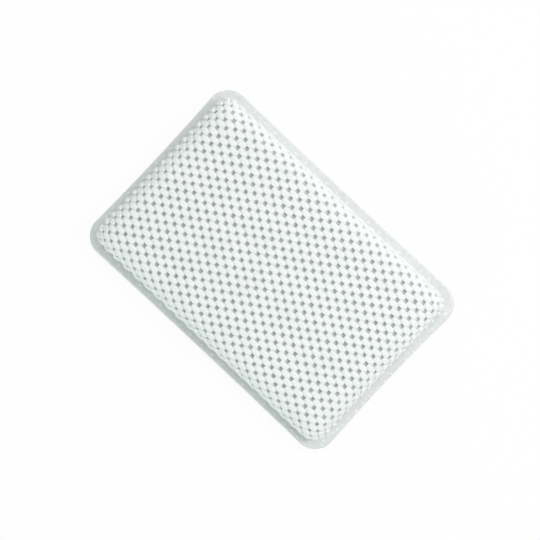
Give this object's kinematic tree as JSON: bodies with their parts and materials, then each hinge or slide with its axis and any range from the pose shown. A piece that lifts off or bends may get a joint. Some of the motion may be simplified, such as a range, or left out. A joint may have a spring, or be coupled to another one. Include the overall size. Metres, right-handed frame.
{
  "type": "bath pillow",
  "caption": "Padded bath pillow: a domed cover of open foam mesh over a foam core, welded round its border to a vinyl back sheet with swivelling suction cups.",
  "frame": {"origin": "middle of the pillow in plan, on the surface that the suction cups' lips stand on", "axes": "+X along the pillow's length, +Y across its width, +Z out of its padded face"},
  "size_m": [0.324, 0.2142, 0.0469],
  "materials": {
    "foamed_vinyl": "matte",
    "soft_foam": "matte",
    "sheet_vinyl": "satin",
    "clear_vinyl": "gloss"
  },
  "bodies": {
    "pillow": {"mesh_cover": "foamed_vinyl", "foam_core": "soft_foam", "back_sheet": "sheet_vinyl", "cup_patch_1": "sheet_vinyl", "cup_patch_2": "sheet_vinyl", "cup_patch_3": "sheet_vinyl", "cup_patch_4": "sheet_vinyl", "cup_patch_5": "sheet_vinyl", "cup_patch_6": "sheet_vinyl"},
    "cup_1": {"suction_cup_1": "clear_vinyl"},
    "cup_2": {"suction_cup_2": "clear_vinyl"},
    "cup_3": {"suction_cup_3": "clear_vinyl"},
    "cup_4": {"suction_cup_4": "clear_vinyl"},
    "cup_5": {"suction_cup_5": "clear_vinyl"},
    "cup_6": {"suction_cup_6": "clear_vinyl"}
  },
  "joints": [
    {"name": "cup_1_swivel", "type": "hinge", "parent": "pillow", "child": "cup_1", "pos_m": [-0.105, -0.052, 0], "axis": [0, 0, 1], "continuous": true},
    {"name": "cup_2_swivel", "type": "hinge", "parent": "pillow", "child": "cup_2", "pos_m": [0, -0.052, 0], "axis": [0, 0, 1], "continuous": true},
    {"name": "cup_3_swivel", "type": "hinge", "parent": "pillow", "child": "cup_3", "pos_m": [0.105, -0.052, 0], "axis": [0, 0, 1], "continuous": true},
    {"name": "cup_4_swivel", "type": "hinge", "parent": "pillow", "child": "cup_4", "pos_m": [-0.105, 0.052, 0], "axis": [0, 0, 1], "continuous": true},
    {"name": "cup_5_swivel", "type": "hinge", "parent": "pillow", "child": "cup_5", "pos_m": [0, 0.052, 0], "axis": [0, 0, 1], "continuous": true},
    {"name": "cup_6_swivel", "type": "hinge", "parent": "pillow", "child": "cup_6", "pos_m": [0.105, 0.052, 0], "axis": [0, 0, 1], "continuous": true}
  ]
}
